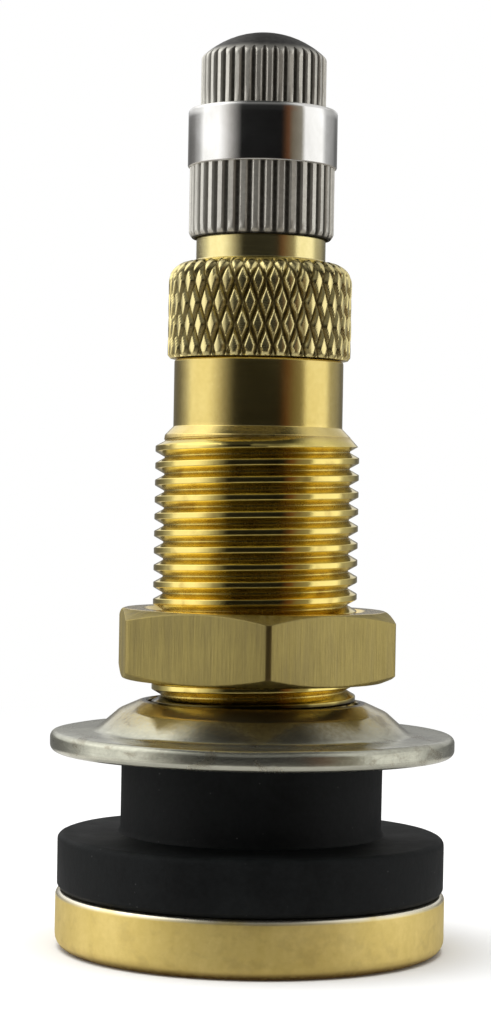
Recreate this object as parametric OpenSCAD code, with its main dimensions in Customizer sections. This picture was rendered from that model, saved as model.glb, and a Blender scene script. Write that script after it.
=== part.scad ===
// Clamp-in tyre valve for air and liquid filling, standing on its base.
// Millimetres, +Z up the stem, origin at the middle of the base's underside.
// Threads are drawn as plain cylinders at their crest diameter.

/* [Base and stem] */
// Diameter of the round brass base
flange_d = 23.3; // [21:0.1:24]
// Thickness of the brass base
flange_h = 3.45; // [2.5:0.05:4.5]
// Rounding of the base's lower edge
flange_edge = 0.8; // [0.2:0.05:1.2]
// Crest diameter of the stem's outer thread
stem_d = 12.24; // [11.6:0.02:12.3]
// Height at which the stem's thread ends
thread_top = 30.1; // [28:0.1:31]
// Diameter of the smooth barrel above the thread
barrel_d = 10.14; // [9.8:0.02:10.6]
// Height of the barrel's top
barrel_top = 35.15; // [34:0.05:36]
// Diameter of the passage through the base
bore_d = 6.4; // [5:0.1:6.6]

/* [Rubber grommet] */
// Diameter of the grommet's flange
grommet_d = 23.2; // [20:0.1:24]
// Thickness of the grommet's flange
grommet_flange_h = 3.35; // [2.5:0.05:4]
// Diameter of the neck that fills the rim hole
neck_d = 15.7; // [15:0.1:15.8]
// Straight length of the neck
neck_h = 4.85; // [4:0.05:4.85]

/* [Ring washer] */
// Outer diameter of the dished washer
washer_d = 24.3; // [22:0.1:26]
// Height of the washer's underside
washer_z = 11.67; // [11.65:0.01:11.9]
// Thickness of the washer's brim
brim_t = 1.25; // [0.9:0.05:1.4]
// Rise of the dish above the brim
dish_rise = 1.85; // [1.5:0.05:2]

/* [Hex nut] */
// Width across flats
nut_af = 15.875; // [15.5:0.025:17]
// Height of the nut
nut_h = 4.2; // [4:0.1:6]
// Height of the nut's lower face
nut_z = 16.05; // [15.4:0.05:20]
// Turn of the nut about the stem
nut_turn = -25; // [-30:1:30]

/* [Core housing] */
// Crest diameter of the knurled collar
collar_d = 10.98; // [10.6:0.02:11.2]
// Height at which the collar's straight side ends
collar_top = 39.8; // [39:0.1:40]
// Diameter of the neck and cap thread
cap_thread_d = 7.75; // [7.6:0.01:7.76]
// Height of the housing's top
housing_top = 49.2; // [49:0.1:49.2]
// Crest diameter of the shank's thread inside the spud
shank_d = 8.3; // [8:0.02:8.3]

/* [Cap] */
// Height of the cap's lower edge
cap_z = 42.4; // [42.3:0.1:43.5]
// Diameter over the lower ribs
cap_low_d = 8.68; // [8.6:0.02:8.9]
// Diameter of the smooth raised band
cap_band_d = 8.94; // [8.8:0.02:9.4]
// Lower and upper edge of the raised band
cap_band_z = [46.65, 50.1]; // [46:0.05:51]
// Diameter over the upper ribs
cap_high_d = 7.5; // [7.2:0.02:7.6]
// Height of the cap's top
cap_top = 54.75; // [54.5:0.05:55]
// Radius of the cap's domed top
dome_r = 5.34; // [5:0.02:7]
// Number of grooves around the cap
cap_grooves = 36; // [24:1:40]
// Depth of a groove
groove_depth = 0.22; // [0.05:0.01:0.24]

/* [Valve core] */
// Crest diameter of the core's thread
core_thread_d = 5.24; // [5:0.02:5.28]
// Diameter of the barrel's sleeve
core_sleeve_d = 3.7; // [3.4:0.02:3.72]
// Diameter of the pin
pin_d = 1.1; // [0.9:0.02:1.2]
// Height of the pin's top
pin_top = 48.9; // [48.6:0.1:49]
// Turns of the pin's spring
spring_turns = 9; // [6:1:10]
// Diameter of the spring's wire
spring_wire = 0.26; // [0.2:0.02:0.28]

/* [Hidden] */
$fn = 96;

brass = [0.80, 0.64, 0.30];
nickel = [0.78, 0.77, 0.74];
zinc = [0.56, 0.56, 0.53];
black_rubber = [0.07, 0.07, 0.07];
red_seal = [0.55, 0.16, 0.12];

flange_r = flange_d / 2;
stem_r = stem_d / 2;
barrel_r = barrel_d / 2;
bore_r = bore_d / 2;
counterbore_r = shank_d / 2 + 0.05;
counterbore_z = 28;
grommet_top = flange_h + grommet_flange_h;
gasket_h = 1;
shank_z = counterbore_z + gasket_h + 0.02;
collar_z = barrel_top + 0.05;
collar_r = collar_d / 2;
cap_thread_r = cap_thread_d / 2;
cap_bore_r = cap_thread_r + 0.055;
cap_roof = 50;
cap_hollow_r = 2.8;
core_r = core_thread_d / 2;
core_bore_r = core_r + 0.07;
sleeve_r = core_sleeve_d / 2;
pin_r = pin_d / 2;
spring_z = [35.32, 42.36];
spring_r = 0.95;

// Points of a quarter-round corner of radius r about c, from angle a to a + 90
function corner(c, r, a, n = 6) = [for (i = [0:n]) c + r * [cos(a + 90 * i / n), sin(a + 90 * i / n)]];

// Ring with square edges, from z0 to z1 between two radii
module ring(r0, r1, z0, z1) {
    rotate_extrude() polygon([[r0, z0], [r1, z0], [r1, z1], [r0, z1]]);
}

// Disc with V grooves around its edge
module grooved(r) {
    step = 360 / cap_grooves;
    half = r * sin(step) * 0.32;
    difference() {
        circle(r = r);
        for (i = [0:cap_grooves - 1])
            rotate(i * step) polygon([[r - groove_depth, 0], [r + 0.2, -half * (1 + 0.2 / groove_depth)], [r + 0.2, half * (1 + 0.2 / groove_depth)]]);
    }
}

// Base, stem and barrel in one turned piece
module spud() {
    e = flange_edge;
    color(brass) rotate_extrude() polygon(concat(
        [[bore_r, 0.3], [bore_r + 0.3, 0]],
        corner([flange_r - e, e], e, -90),
        [[flange_r, flange_h - 0.3], [flange_r - 0.3, flange_h], [stem_r, flange_h],
         [stem_r, thread_top], [barrel_r, thread_top + stem_r - barrel_r],
         [barrel_r, barrel_top - 0.12], [barrel_r - 0.12, barrel_top],
         [counterbore_r + 0.3, barrel_top], [counterbore_r, barrel_top - 0.3],
         [counterbore_r, counterbore_z], [bore_r, counterbore_z]]));
}

// Rubber flange and neck, with a tapered upper end that sits in the washer's dish
module grommet() {
    r = grommet_d / 2;
    n = neck_d / 2;
    top = grommet_top + neck_h;
    color(black_rubber) rotate_extrude() polygon(concat(
        [[stem_r + 0.05, flange_h], [r - 0.25, flange_h], [r, flange_h + 0.25]],
        corner([r - 0.4, grommet_top - 0.4], 0.4, 0),
        [[n, grommet_top], [n, top], [n - 0.7, top + 0.7], [stem_r + 0.05, top + 0.7]]));
}

// Dished washer: flat brim, sloping wall and a flat crown around the stem
module ring_washer() {
    r = washer_d / 2;
    z = washer_z;
    top = z + brim_t + dish_rise;
    e = 0.42;
    color(zinc) rotate_extrude() polygon(concat(
        [[6.35, top - 1.3], [6.95, top - 1.3], [8.1, z + 0.1], [8.25, z]],
        corner([r - e, z + e], e, -90),
        corner([r - e, z + brim_t - e], e, 0),
        [[9.5, z + brim_t], [9.2, z + brim_t + 0.1], [7.35, top - 0.15], [7.05, top], [6.45, top], [6.35, top - 0.1]]));
}

// Hexagon with both ends turned to a shallow chamfer
module hex_nut() {
    corner_r = nut_af / sqrt(3);
    face_r = nut_af / 2 - 0.15;
    drop = (corner_r + 0.5 - face_r) * tan(22.5);
    bore = stem_r + 0.08;
    color(brass) translate([0, 0, nut_z]) difference() {
        intersection() {
            rotate(nut_turn) cylinder(r = corner_r, h = nut_h, $fn = 6);
            rotate_extrude() polygon([[0, 0], [face_r, 0], [corner_r + 0.5, drop],
                [corner_r + 0.5, nut_h - drop], [face_r, nut_h], [0, nut_h]]);
        }
        rotate_extrude() polygon([[0, -1], [bore + 1.5, -1], [bore, 0.5], [bore, nut_h - 0.5],
            [bore + 1.5, nut_h + 1], [0, nut_h + 1]]);
    }
}

// Shank, knurled collar, neck and cap thread in one turned piece, bored for the valve core
module core_housing() {
    s = shank_d / 2;
    n = cap_thread_r;
    color(brass) rotate_extrude() polygon(concat(
        [[2.6, shank_z], [s - 0.4, shank_z], [s, shank_z + 0.4], [s, collar_z],
         [collar_r - 0.15, collar_z], [collar_r, collar_z + 0.15]],
        [for (i = [0:6]) [collar_r - 1.35 * (1 - cos(15 * i)), collar_top + 1.2 * sin(15 * i)]],
        [[n, collar_top + 1.25], [n, housing_top - 0.4], [n - 0.4, housing_top], [core_bore_r + 0.3, housing_top],
         [core_bore_r, housing_top - 0.3], [core_bore_r, 43.75], [2.36, 43.5], [2.06, 41.05], [1.98, 41],
         [1.98, 35.4], [2.6, 34.8]]));
}

// Ring between the shank's end and its ledge in the spud
module housing_gasket() {
    color(black_rubber) ring(bore_r + 0.05, counterbore_r - 0.4, counterbore_z, counterbore_z + gasket_h);
}

// Cap with two grooved bands, a smooth raised band between them and a low domed top
module cap_shell() {
    low_r = cap_low_d / 2;
    band_r = cap_band_d / 2;
    high_r = cap_high_d / 2;
    zb = cap_band_z;
    color(nickel) difference() {
        union() {
            intersection() {
                translate([0, 0, cap_z]) linear_extrude(zb[0] + 0.4 - cap_z) grooved(low_r);
                rotate_extrude() polygon([[0, cap_z], [low_r - 0.2, cap_z], [low_r + 0.1, cap_z + 0.72],
                    [low_r + 0.1, zb[0] + 1], [0, zb[0] + 1]]);
            }
            rotate_extrude() polygon([[0, zb[0]], [band_r - 0.1, zb[0]], [band_r, zb[0] + 0.1],
                [band_r, zb[1] - 0.25], [band_r - 0.25, zb[1]], [0, zb[1]]]);
            intersection() {
                translate([0, 0, zb[1] - 0.4]) linear_extrude(cap_top - zb[1] + 0.4) grooved(high_r);
                translate([0, 0, cap_top - dome_r]) sphere(r = dome_r);
            }
        }
        rotate_extrude() polygon([[0, cap_z - 1], [cap_bore_r + 0.08, cap_z - 1], [cap_bore_r + 0.08, cap_z],
            [cap_bore_r, cap_z + 0.2], [cap_bore_r, cap_roof], [cap_hollow_r, cap_roof],
            [cap_hollow_r, cap_top - 1.6], [cap_hollow_r - 0.5, cap_top - 1.2], [0, cap_top - 1.2]]);
    }
}

// Ring under the cap's step, which closes on the housing's end
module cap_seal() {
    color(black_rubber) ring(cap_hollow_r, cap_bore_r - 0.08, housing_top + 0.05, cap_roof);
}

// Threaded head of the core, with a bar across its top for the core tool and a neck that turns in the barrel
module core_swivel() {
    color(brass) difference() {
        union() {
            rotate_extrude() polygon([[0.8, 43.05], [1.5, 43.05], [1.5, 44.95], [core_r - 0.2, 44.95], [core_r, 45.15],
                [core_r, 46.4], [core_r - 0.2, 46.6], [0.8, 46.6]]);
            intersection() {
                ring(0.8, core_r - 0.12, 46.4, 47.9);
                translate([-1.15, -3, 46]) cube([2.3, 6, 3]);
            }
        }
        for (a = [90, 270]) rotate(a) translate([core_r - 0.15, 0, 44]) cylinder(r = 0.75, h = 4);
    }
}

// Sleeve of the core, open at the top for the swivel and nearly closed below
module core_barrel() {
    color(brass) rotate_extrude() polygon([[0.75, 34.5], [1.45, 34.5], [sleeve_r, 34.9], [sleeve_r, 41.2], [1.72, 41.2],
        [1.72, 43.4], [2.24, 43.4], [2.24, 44.85], [1.56, 44.85], [1.56, 43], [1.2, 43], [1.2, 35.3], [0.75, 35.3]]);
}

// Tapered ring around the barrel
module barrel_gasket() {
    color(red_seal) rotate_extrude() polygon([[1.74, 41.22], [2.04, 41.22], [2.29, 43.38], [1.74, 43.38]]);
}

// Pin with a low round head, a collar that the spring pushes up and a riveted end
module core_pin() {
    color([0.85, 0.80, 0.62]) rotate_extrude() polygon([[0, 32.4], [0.7, 32.4], [0.8, 32.55], [0.8, 32.78], [pin_r, 32.78],
        [pin_r, 42.4], [1.1, 42.4], [1.1, 42.85], [pin_r, 42.95], [pin_r, pin_top - 0.85], [0.7, pin_top - 0.7],
        [0.7, pin_top - 0.2], [0.5, pin_top], [0, pin_top]]);
}

// Cup that holds the lower seal
module pin_cup() {
    color(brass) rotate_extrude() polygon([[pin_r + 0.01, 32.8], [1.35, 32.8], [1.6, 33.05], [1.6, 34.15], [1.42, 34.15],
        [1.42, 33.5], [pin_r + 0.01, 33.5]]);
}

// Seal in the cup, which closes on the barrel's lower end
module cup_gasket() {
    color(black_rubber) ring(pin_r + 0.02, 1.4, 33.52, 34.47);
}

// Coil spring around the pin
module core_spring() {
    per_turn = 14;
    sides = 8;
    w = spring_wire / 2;
    rings = spring_turns * per_turn;
    lo = spring_z[0] + w + 0.02;
    rise = spring_z[1] - spring_z[0] - spring_wire - 0.04;
    points = [for (i = [0:rings], k = [0:sides - 1])
        let (a = 360 * i / per_turn, b = 360 * k / sides, r = spring_r + w * cos(b))
        [r * cos(a), r * sin(a), lo + rise * i / rings + w * sin(b)]];
    faces = concat(
        [[for (k = [0:sides - 1]) k]],
        [for (i = [0:rings - 1], k = [0:sides - 1])
            let (p = i * sides + k, q = i * sides + (k + 1) % sides) [p, p + sides, q + sides, q]],
        [[for (k = [sides - 1:-1:0]) rings * sides + k]]);
    color([0.72, 0.72, 0.72]) polyhedron(points, faces, convexity = 10);
}

spud();
grommet();
ring_washer();
hex_nut();
core_housing();
housing_gasket();
cap_shell();
cap_seal();
core_swivel();
core_barrel();
barrel_gasket();
core_pin();
pin_cup();
cup_gasket();
core_spring();
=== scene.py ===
import math

import bmesh
import bpy
import numpy as np
from mathutils import Matrix


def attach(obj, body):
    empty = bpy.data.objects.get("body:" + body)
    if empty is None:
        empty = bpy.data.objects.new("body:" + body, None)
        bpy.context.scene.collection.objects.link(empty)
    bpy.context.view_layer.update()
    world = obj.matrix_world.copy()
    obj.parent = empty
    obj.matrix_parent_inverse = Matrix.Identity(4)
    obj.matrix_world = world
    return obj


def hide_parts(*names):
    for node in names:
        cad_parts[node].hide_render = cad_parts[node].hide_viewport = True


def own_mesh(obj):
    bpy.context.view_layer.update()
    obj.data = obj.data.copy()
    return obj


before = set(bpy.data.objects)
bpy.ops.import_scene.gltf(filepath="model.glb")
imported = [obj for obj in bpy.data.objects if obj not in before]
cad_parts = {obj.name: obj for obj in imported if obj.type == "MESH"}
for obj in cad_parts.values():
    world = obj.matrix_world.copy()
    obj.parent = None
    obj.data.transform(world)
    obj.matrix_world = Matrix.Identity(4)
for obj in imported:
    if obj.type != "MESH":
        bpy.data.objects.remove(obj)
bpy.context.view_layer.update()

MM = 0.001
TAU = 2 * math.pi


# ---------------------------------------------------------------- shapes

def even(n, start=0.0):
    """n evenly spaced column angles."""
    return start + np.arange(n) * TAU / n


def rounded(points, seg=4):
    """Open outline of (r, z) or (r, z, fillet) points, with each inner corner rounded."""
    pts = [(p[0], p[1], p[2] if len(p) > 2 else 0.0) for p in points]
    out = [pts[0][:2]]
    for i in range(1, len(pts) - 1):
        a, b, c = (np.array(pts[k][:2], float) for k in (i - 1, i, i + 1))
        f = pts[i][2]
        if f <= 0:
            out.append(tuple(b))
            continue
        u, v = a - b, c - b
        lu, lv = np.linalg.norm(u), np.linalg.norm(v)
        u, v = u / lu, v / lv
        half = math.acos(max(-1.0, min(1.0, float(u @ v)))) / 2
        if half > math.pi / 2 - 1e-3 or half < 1e-3:
            out.append(tuple(b))
            continue
        t = min(f / math.tan(half), 0.48 * lu, 0.48 * lv)
        f = t * math.tan(half)
        mid = (u + v) / np.linalg.norm(u + v)
        centre = b + mid * f / math.sin(half)
        s, e = b + u * t - centre, b + v * t - centre
        a0 = math.atan2(s[1], s[0])
        turn = (math.atan2(e[1], e[0]) - a0 + math.pi) % TAU - math.pi
        for k in range(seg + 1):
            g = a0 + turn * k / seg
            out.append((centre[0] + f * math.cos(g), centre[1] + f * math.sin(g)))
    out.append(pts[-1][:2])
    return out


# One turn of a V thread as (share of the pitch, height between root and crest)
V_FORM = [(0.0, 0.0), (0.07, 0.0), (0.115, 0.07), (0.25, 0.465), (0.39, 0.92), (0.44, 1.0), (0.5, 1.0), (0.56, 1.0),
          (0.61, 0.92), (0.75, 0.465), (0.885, 0.07), (0.93, 0.0)]

# The stem's thread: broader worn crests and straight flanks
STEM_FORM = [(0.0, 0.0), (0.03, 0.0), (0.05, 0.03), (0.065, 0.08), (0.31, 0.90), (0.325, 0.945), (0.345, 0.985), (0.37, 1.0), (0.5, 1.0), (0.63, 1.0),
             (0.655, 0.985), (0.675, 0.945), (0.69, 0.90), (0.935, 0.08), (0.95, 0.03), (0.97, 0.0)]


class Solid:
    """A closed surface in millimetres, built from grids of columns around the stem's axis."""

    def __init__(self, angles):
        self.angles = np.asarray(angles, float)
        self.points, self.groove, self.crest, self.faces = [], [], [], []
        self.count = 0

    def add(self, xyz, faces, groove=0.0, crest=0.0):
        n = len(xyz)
        self.points.append(np.asarray(xyz, float))
        self.groove.append(np.broadcast_to(np.asarray(groove, float), (n,)).copy())
        self.crest.append(np.broadcast_to(np.asarray(crest, float), (n,)).copy())
        self.faces.extend([tuple(int(k) + self.count for k in f) for f in faces])
        self.count += n

    def grid(self, r, z, groove=0.0, crest=0.0, shift=0, angles=None, split=None):
        """Rows of radius and height over the columns; shift is how many rows a turn of the columns climbs."""
        th = self.angles if angles is None else np.asarray(angles, float)
        r, z = np.broadcast_arrays(np.asarray(r, float), np.asarray(z, float))
        rows, n = r.shape
        xyz = np.stack([r * np.cos(th), r * np.sin(th), z], -1).reshape(-1, 3)
        idx = np.arange(rows * n).reshape(rows, n)
        quads = [np.stack([idx[:-1, :-1], idx[:-1, 1:], idx[1:, 1:], idx[1:, :-1]], -1).reshape(-1, 4)]
        j = np.arange(rows - 1)
        j = j[(j + shift >= 0) & (j + shift + 1 < rows)]
        quads.append(np.stack([idx[j, -1], idx[j + shift, 0], idx[j + shift + 1, 0], idx[j + 1, -1]], -1))
        quads = np.concatenate(quads)
        if split is None:
            faces = quads.tolist()
        else:
            a, b, c, d = quads.T
            first = split(a, b, c, d, xyz)
            faces = []
            for q, f in zip(quads.tolist(), first.tolist()):
                faces += [(q[0], q[1], q[2]), (q[0], q[2], q[3])] if f else [(q[0], q[1], q[3]), (q[1], q[2], q[3])]
        g = np.broadcast_to(np.asarray(groove, float), r.shape).reshape(-1)
        k = np.broadcast_to(np.asarray(crest, float), r.shape).reshape(-1)
        self.add(xyz, faces, g, k)

    def rings(self, outline, groove=0.0, crest=0.0, angles=None):
        """A plain turned stretch."""
        th = self.angles if angles is None else np.asarray(angles, float)
        o = np.array(outline, float)
        n = len(th)
        g = np.broadcast_to(np.asarray(groove, float), (len(o),))[:, None] + np.zeros((1, n))
        k = np.broadcast_to(np.asarray(crest, float), (len(o),))[:, None] + np.zeros((1, n))
        self.grid(np.repeat(o[:, :1], n, 1), np.repeat(o[:, 1:2], n, 1), g, k, angles=th)

    def thread(self, z0, z1, pitch, lo, hi, inner=False, angles=None, form=V_FORM, lift=0.0):
        """A helical stretch from z0 up to z1 (from z1 down to z0 for an inner wall), between two radii."""
        th = (self.angles if angles is None else np.asarray(angles, float)) % TAU
        order = np.argsort(th)
        th = th[order]
        per = len(form)
        first, last = math.floor(z0 / pitch) - 2, math.ceil(z1 / pitch) + 2
        base = np.array([(k + f) * pitch + lift for k in range(first, last) for f, _ in form])
        t = np.array([h for _ in range(first, last) for _, h in form])
        z = np.clip(base[:, None] + pitch * th[None, :] / TAU, z0, z1)
        t = np.repeat(t[:, None], len(th), 1)
        r = lo + t * (hi - lo)
        run = np.minimum(z - z0, z1 - z) * 0.9
        if inner:
            r = np.maximum(r, hi - run)
            depth = np.clip((r - lo) / (hi - lo), 0, 1)
            self.grid(r[::-1], z[::-1], (depth ** 1.4)[::-1], ((1 - depth) ** 6)[::-1], shift=-per, angles=th)
        else:
            r = np.minimum(r, lo + run)
            height = np.clip((r - lo) / (hi - lo), 0, 1)
            self.grid(r, z, (1 - height) ** 1.4, height ** 6, shift=per, angles=th)

    def bridge(self, many, r0, z0, few, r1, z1, groove=0.0):
        """A flat ring between an edge with many columns and one with fewer; r0 may vary by column."""
        many, few = np.asarray(many, float), np.asarray(few, float)
        k = len(many) // len(few)
        n, m = len(many), len(few)
        r0 = np.broadcast_to(np.asarray(r0, float), (n,))
        a = np.stack([r0 * np.cos(many), r0 * np.sin(many), np.full(n, z0)], -1)
        b = np.stack([r1 * np.cos(few), r1 * np.sin(few), np.full(m, z1)], -1)
        faces = []
        for s in range(m):
            faces.append([(s * k + q) % n for q in range(k + 1)] + [n + (s + 1) % m, n + s])
        self.add(np.concatenate([a, b]), faces, groove)

    def cap(self, r, z, angles=None):
        """Closes a ring with a disc."""
        th = self.angles if angles is None else np.asarray(angles, float)
        n = len(th)
        xyz = np.concatenate([np.stack([r * np.cos(th), r * np.sin(th), np.full(n, z)], -1), [[0, 0, z]]])
        self.add(xyz, [(i, (i + 1) % n, n) for i in range(n)])

    def build(self, name, body, node, material, sharp=34):
        mesh = bpy.data.meshes.new(name)
        xyz = np.concatenate(self.points) * MM
        mesh.from_pydata(xyz.tolist(), [], self.faces)
        for key, parts in (("groove", self.groove), ("crest", self.crest)):
            layer = mesh.attributes.new(key, "FLOAT", "POINT")
            layer.data.foreach_set("value", np.concatenate(parts).astype(np.float32))
        bm = bmesh.new()
        bm.from_mesh(mesh)
        bmesh.ops.remove_doubles(bm, verts=bm.verts, dist=3e-7)
        bmesh.ops.dissolve_degenerate(bm, dist=1e-8, edges=bm.edges)
        bmesh.ops.recalc_face_normals(bm, faces=bm.faces)
        bm.to_mesh(mesh)
        bm.free()
        mesh.polygons.foreach_set("use_smooth", [True] * len(mesh.polygons))
        mesh.set_sharp_from_angle(angle=math.radians(sharp))
        mesh.materials.append(material)
        obj = bpy.data.objects.new(name, mesh)
        bpy.context.scene.collection.objects.link(obj)
        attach(obj, body)
        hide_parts(node)
        return obj


def wave(a, b, seed):
    """A smooth, repeatable unevenness between about -1 and 1 over an angle and a height."""
    s = 0.0
    for i in range(5):
        k = 2 + i * 1.7 + seed * 0.37
        s = s + math.cos(seed * 1.3 + i) * np.sin(round(k) * a + 1.9 * i + seed * 2.1) * np.cos(b * (0.6 + 0.5 * i) + seed + i)
    return s / 2.6


# ------------------------------------------------------------- materials

class Paint:
    """A procedural material in object space, measured in millimetres."""

    def __init__(self, name):
        self.mat = bpy.data.materials.new(name)
        self.mat.use_nodes = True
        self.tree = self.mat.node_tree
        self.tree.nodes.clear()
        self.out = self.new("ShaderNodeOutputMaterial")
        self.bsdf = self.new("ShaderNodeBsdfPrincipled")
        self.tree.links.new(self.bsdf.outputs["BSDF"], self.out.inputs["Surface"])
        coord = self.new("ShaderNodeTexCoord")
        scale = self.new("ShaderNodeVectorMath")
        scale.operation = "SCALE"
        scale.inputs["Scale"].default_value = 1000.0
        self.tree.links.new(coord.outputs["Object"], scale.inputs[0])
        self.mm = scale.outputs[0]
        parts = self.new("ShaderNodeSeparateXYZ")
        self.tree.links.new(self.mm, parts.inputs[0])
        self.x, self.y, self.z = parts.outputs

    def new(self, kind):
        return self.tree.nodes.new(kind)

    def put(self, value, socket):
        if hasattr(value, "is_output"):
            self.tree.links.new(value, socket)
        else:
            socket.default_value = value

    def math(self, op, a, b=0.0, c=None, clamp=False):
        n = self.new("ShaderNodeMath")
        n.operation = op
        n.use_clamp = clamp
        self.put(a, n.inputs[0])
        self.put(b, n.inputs[1])
        if c is not None:
            self.put(c, n.inputs[2])
        return n.outputs[0]

    def noise(self, scale, size=(1, 1, 1), detail=4.0, rough=0.55, offset=(0, 0, 0), distort=0.0):
        m = self.new("ShaderNodeMapping")
        m.inputs["Location"].default_value = offset
        m.inputs["Scale"].default_value = size
        self.tree.links.new(self.mm, m.inputs["Vector"])
        n = self.new("ShaderNodeTexNoise")
        n.inputs["Scale"].default_value = scale
        n.inputs["Detail"].default_value = detail
        n.inputs["Roughness"].default_value = rough
        n.inputs["Distortion"].default_value = distort
        self.tree.links.new(m.outputs[0], n.inputs["Vector"])
        return n.outputs[0]

    def cells(self, scale, offset=(0, 0, 0), feature="F1"):
        m = self.new("ShaderNodeMapping")
        m.inputs["Location"].default_value = offset
        self.tree.links.new(self.mm, m.inputs["Vector"])
        n = self.new("ShaderNodeTexVoronoi")
        n.feature = feature
        n.inputs["Scale"].default_value = scale
        self.tree.links.new(m.outputs[0], n.inputs["Vector"])
        return n.outputs["Distance"]

    def span(self, value, a, b, lo=0.0, hi=1.0):
        n = self.new("ShaderNodeMapRange")
        n.interpolation_type = "SMOOTHSTEP"
        self.put(value, n.inputs["Value"])
        n.inputs["From Min"].default_value = a
        n.inputs["From Max"].default_value = b
        n.inputs["To Min"].default_value = lo
        n.inputs["To Max"].default_value = hi
        return n.outputs["Result"]

    def ramp(self, value, stops):
        n = self.new("ShaderNodeValToRGB")
        band = n.color_ramp
        while len(band.elements) < len(stops):
            band.elements.new(0.5)
        for e, (pos, colour) in zip(band.elements, stops):
            e.position = pos
            e.color = (*colour, 1.0)
        self.put(value, n.inputs["Fac"])
        return n.outputs["Color"]

    def mix(self, share, a, b, mode="MIX"):
        n = self.new("ShaderNodeMix")
        n.data_type = "RGBA"
        n.blend_type = mode
        n.clamp_factor = True
        fac = [s for s in n.inputs if s.identifier == "Factor_Float"][0]
        one = [s for s in n.inputs if s.identifier == "A_Color"][0]
        two = [s for s in n.inputs if s.identifier == "B_Color"][0]
        self.put(share, fac)
        for v, s in ((a, one), (b, two)):
            self.put((*v, 1.0) if isinstance(v, tuple) else v, s)
        return [s for s in n.outputs if s.identifier == "Result_Color"][0]

    def attribute(self, name):
        n = self.new("ShaderNodeAttribute")
        n.attribute_name = name
        return n.outputs["Fac"]

    def bump(self, height, strength, distance=0.00005, normal=None):
        n = self.new("ShaderNodeBump")
        n.inputs["Strength"].default_value = strength
        n.inputs["Distance"].default_value = distance
        self.put(height, n.inputs["Height"])
        if normal is not None:
            self.put(normal, n.inputs["Normal"])
        return n.outputs["Normal"]

    def finish(self, colour, roughness, metallic=1.0, normal=None, **sockets):
        b = self.bsdf.inputs
        self.put(colour, b["Base Color"])
        self.put(roughness, b["Roughness"])
        b["Metallic"].default_value = metallic
        if normal is not None:
            self.put(normal, b["Normal"])
        for k, v in sockets.items():
            b[k].default_value = v
        return self.mat


def turned_brass(name, light, dark, dirt_and_painted_light, seed, rough, lines=0.35, stain=0.5, uneven=1.0, spot=None, wear_and_highlight=None, deep=None, rim_shade_and_film=None):
    """Brass off the lathe: fine rings, soft tarnish, darker grooves and lighter rubbed edges; on the stem also a
    painted dark reflection on the base's lower edge, a painted highlight on its upper edge, a painted reflection tint
    on the thread and painted shade above the washer.
    """
    p = Paint(name)
    off = (seed * 3.7, seed * 1.9, seed * 5.3)
    cloud = p.noise(0.32, (1, 1, 0.6), 5, 0.6, off, 0.4)
    fine = p.noise(2.6, (1, 1, 1), 4, 0.6, off)
    rings = p.noise(9.0, (0.035, 0.035, 1.0), 3, 0.7, off)
    base = p.ramp(p.math("ADD", p.math("MULTIPLY", cloud, 0.7), p.math("MULTIPLY", fine, 0.3)),
                  [(0.30, dark), (0.50, tuple((a + b) / 2 for a, b in zip(light, dark))), (0.66, light)])
    if deep is not None:
        # Deeper yellow where the caller's mask says: painted reflection.
        base = p.mix(deep(p), base, (0.77, 0.63, 0.14))
    groove = p.attribute("groove")
    crest = p.attribute("crest")
    grime_and_painted_light = p.math("MULTIPLY", p.span(groove, 0.25, 1.0), p.span(fine, 0.25, 0.65, 0.55, 1.0))
    # Grooves darkened with grime; on the stem's base the lower edge darkened here is painted dark reflection.
    colour = p.mix(p.math("MULTIPLY", grime_and_painted_light, stain(p) if hasattr(stain, "__call__") else stain), base, dirt_and_painted_light)
    colour = p.mix(p.math("MULTIPLY", crest, 0.30), colour, tuple(min(1.0, v * 1.12) for v in light))
    if spot is not None:
        dots = p.span(p.noise(0.75, (1, 1, 1.2), 3, 0.5, (seed + 9, 4, 2), 0.2), 0.50, 0.72)
        colour = p.mix(p.math("MULTIPLY", dots, spot(p)), colour, dirt_and_painted_light)
    if wear_and_highlight is not None:
        # Near-white painted highlight with rubbed wear, on the crests the caller's mask picks out.
        colour = p.mix(p.math("MULTIPLY", crest, wear_and_highlight(p)), colour, (0.97, 0.92, 0.76))
    if rim_shade_and_film is not None:
        # Near-black painted shade above the washer's rim, and the barrel's thin dull film.
        colour = p.mix(rim_shade_and_film(p), colour, (0.030, 0.022, 0.009))
    wide = p.math("MULTIPLY_ADD", p.math("SUBTRACT", cloud, 0.5), 0.22 * uneven,
                  p.math("MULTIPLY_ADD", p.math("SUBTRACT", rings, 0.5), 0.12 * uneven, 0.0))
    if hasattr(rough, "__call__"):
        level = rough(p)
    else:
        level = rough
    roughness = p.math("ADD", p.math("ADD", wide, level), p.math("MULTIPLY", grime_and_painted_light, 0.18), clamp=True)
    normal = p.bump(rings, lines, 0.000018)
    normal = p.bump(p.noise(6.0, (1, 1, 1), 3, 0.6, off), 0.12, 0.00002, normal)
    return p.finish(colour, roughness, 1.0, normal)


def stem_rough(p):
    """Satin base, brighter thread, polished barrel."""
    low = p.span(p.z, 3.6, 9.0, 0.53, 0.105)
    high = p.span(p.z, 30.3, 31.0, 0.0, 0.08)
    worn = p.math("MULTIPLY", p.attribute("crest"), p.span(p.z, 3.4, 3.8, -0.30, 0.0))
    return p.math("ADD", p.math("ADD", low, high), worn)


def stem_grime_and_painted_edge(p):
    """Strength of the groove darkening: heavy at the base's lower edge, where it is painted dark reflection, light in
    the thread, where it is grime.
    """
    return p.span(p.z, 3.4, 3.8, 0.85, 0.36)


def stem_spots(p):
    """Faint stains on the base and darker ones on the thread."""
    return p.math("ADD", p.span(p.z, 3.2, 3.6, 0.14, 0.30), p.span(p.z, 29.6, 30.4, 0.0, -0.30))


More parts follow.
